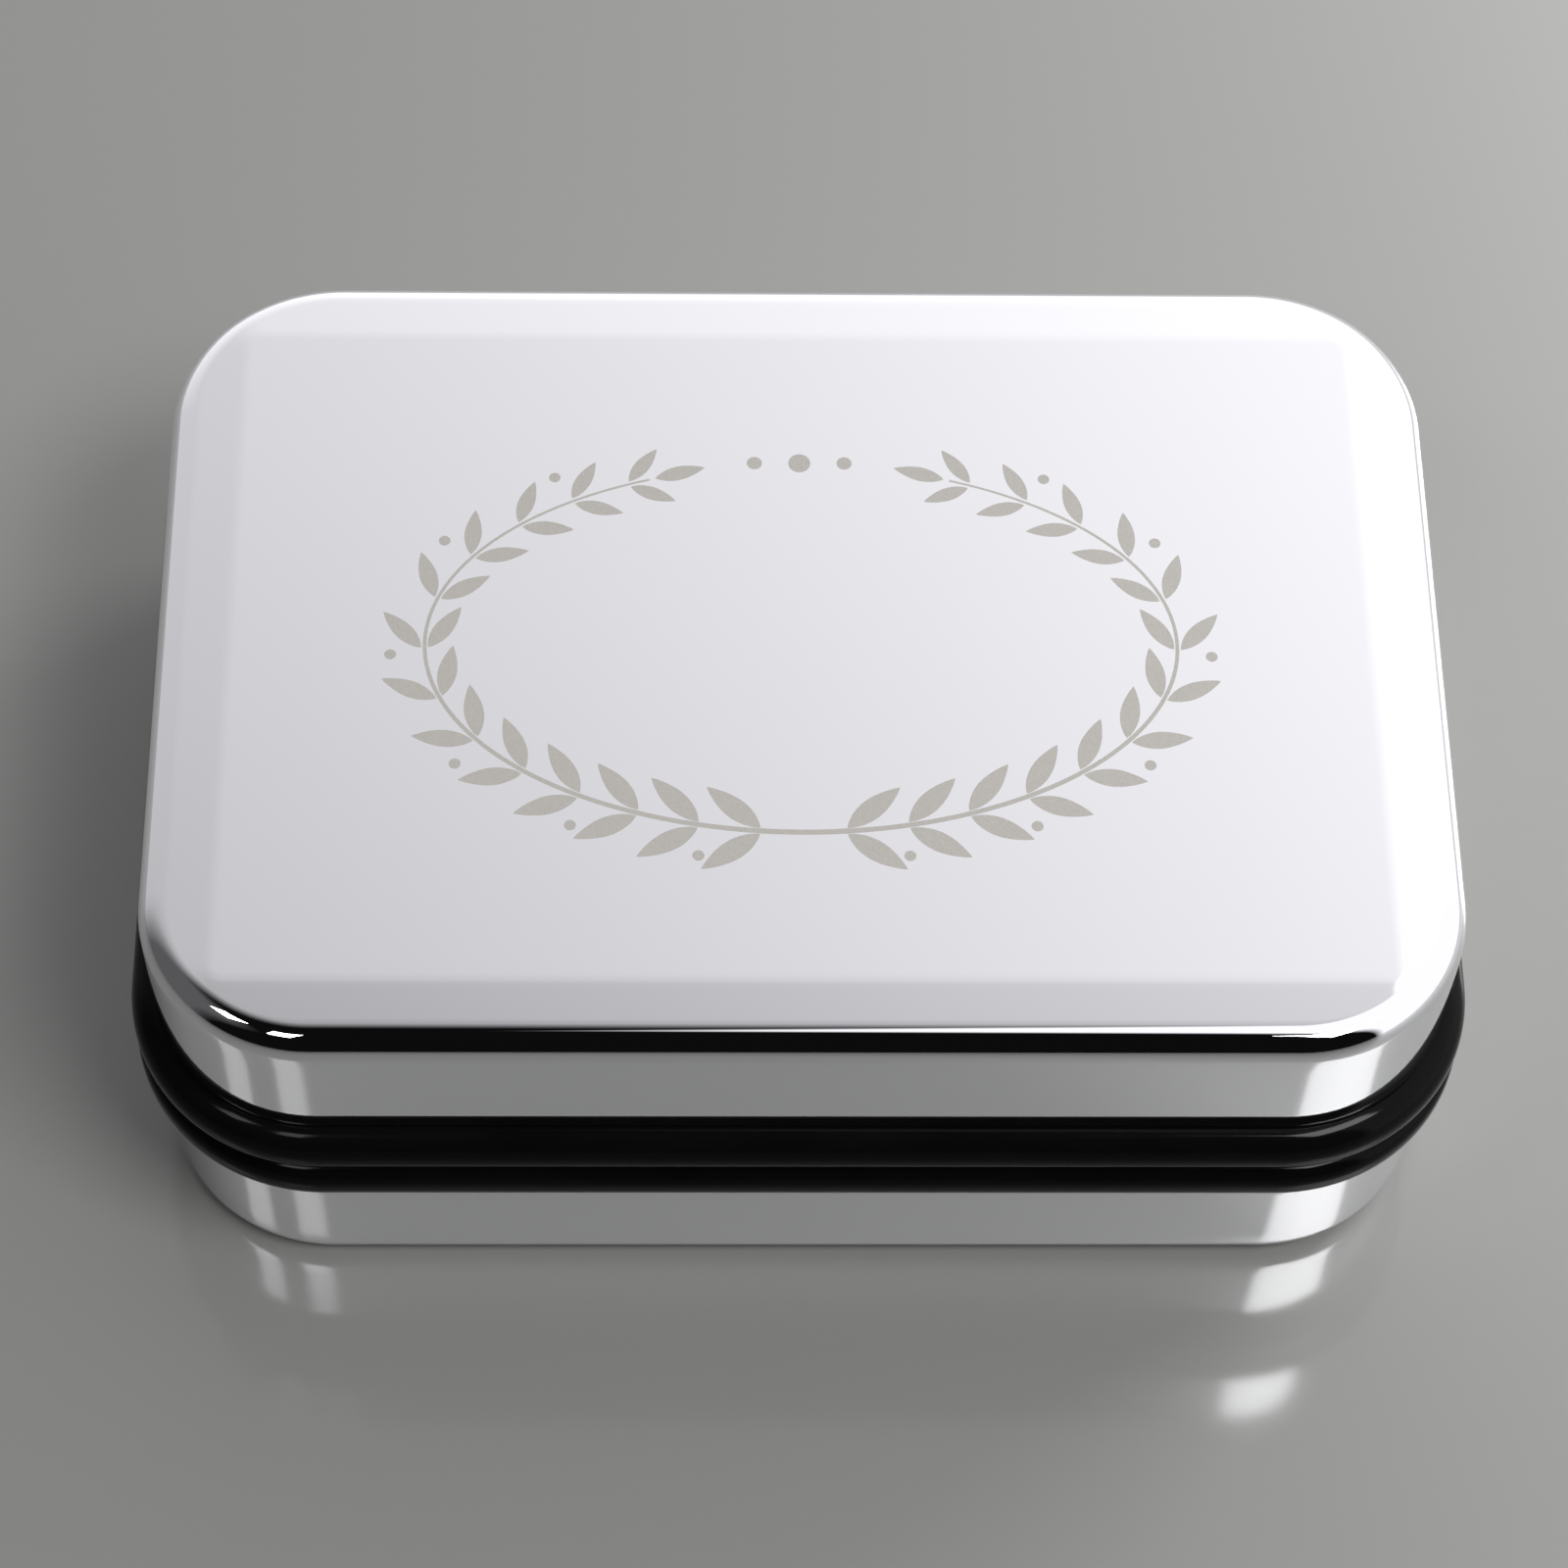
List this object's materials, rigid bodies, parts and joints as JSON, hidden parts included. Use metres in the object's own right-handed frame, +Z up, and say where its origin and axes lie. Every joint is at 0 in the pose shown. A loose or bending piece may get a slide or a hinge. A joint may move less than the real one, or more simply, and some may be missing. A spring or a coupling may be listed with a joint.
{
  "type": "necklace box",
  "caption": "Hinged compact jewellery box of two mirror-finish pressed shells on black moulded rims, with a sprung rear hinge and a padded, lined inside.",
  "frame": {"origin": "centre of the flat panel of the base shell that the box stands on", "axes": "+X along the box's long side, to the right seen from the front; +Y from the front to the hinge; +Z up through the lid"},
  "size_m": [0.0932, 0.0691, 0.0318],
  "materials": {
    "mirror_plate": "bright nickel-chrome plate on pressed brass sheet, mirror polished",
    "black_moulding": "glossy black moulded plastic",
    "hinge_steel": "nickel-plated steel strip, satin",
    "grey_card": "grey card",
    "pad_foam": "soft open-cell foam",
    "black_velvet": "short black velvet pile",
    "black_satin": "black satin weave over padding"
  },
  "bodies": {
    "base": {"base_shell": "mirror_plate", "base_frame": "black_moulding", "base_lining": "black_velvet", "floor_card": "grey_card", "pad_riser": "grey_card", "pad_board": "grey_card", "pad_foam": "pad_foam", "pad_cover": "black_velvet", "base_hinge_leaf": "hinge_steel", "hinge_pin": "hinge_steel", "hinge_spring": "hinge_steel", "spring_rivet": "hinge_steel", "base_screw_left": "hinge_steel", "base_screw_right": "hinge_steel"},
    "lid": {"lid_shell": "mirror_plate", "lid_frame": "black_moulding", "lid_lining": "black_velvet", "lid_board": "grey_card", "lid_foam": "pad_foam", "lid_cover": "black_satin", "lid_hinge_leaf": "hinge_steel", "lid_screw_left": "hinge_steel", "lid_screw_right": "hinge_steel"}
  },
  "joints": [
    {"name": "lid_hinge", "type": "hinge", "parent": "base", "child": "lid", "pos_m": [0, 0.03425, 0.0159], "axis": [-1, 0, 0], "range_deg": [0, 90]}
  ]
}
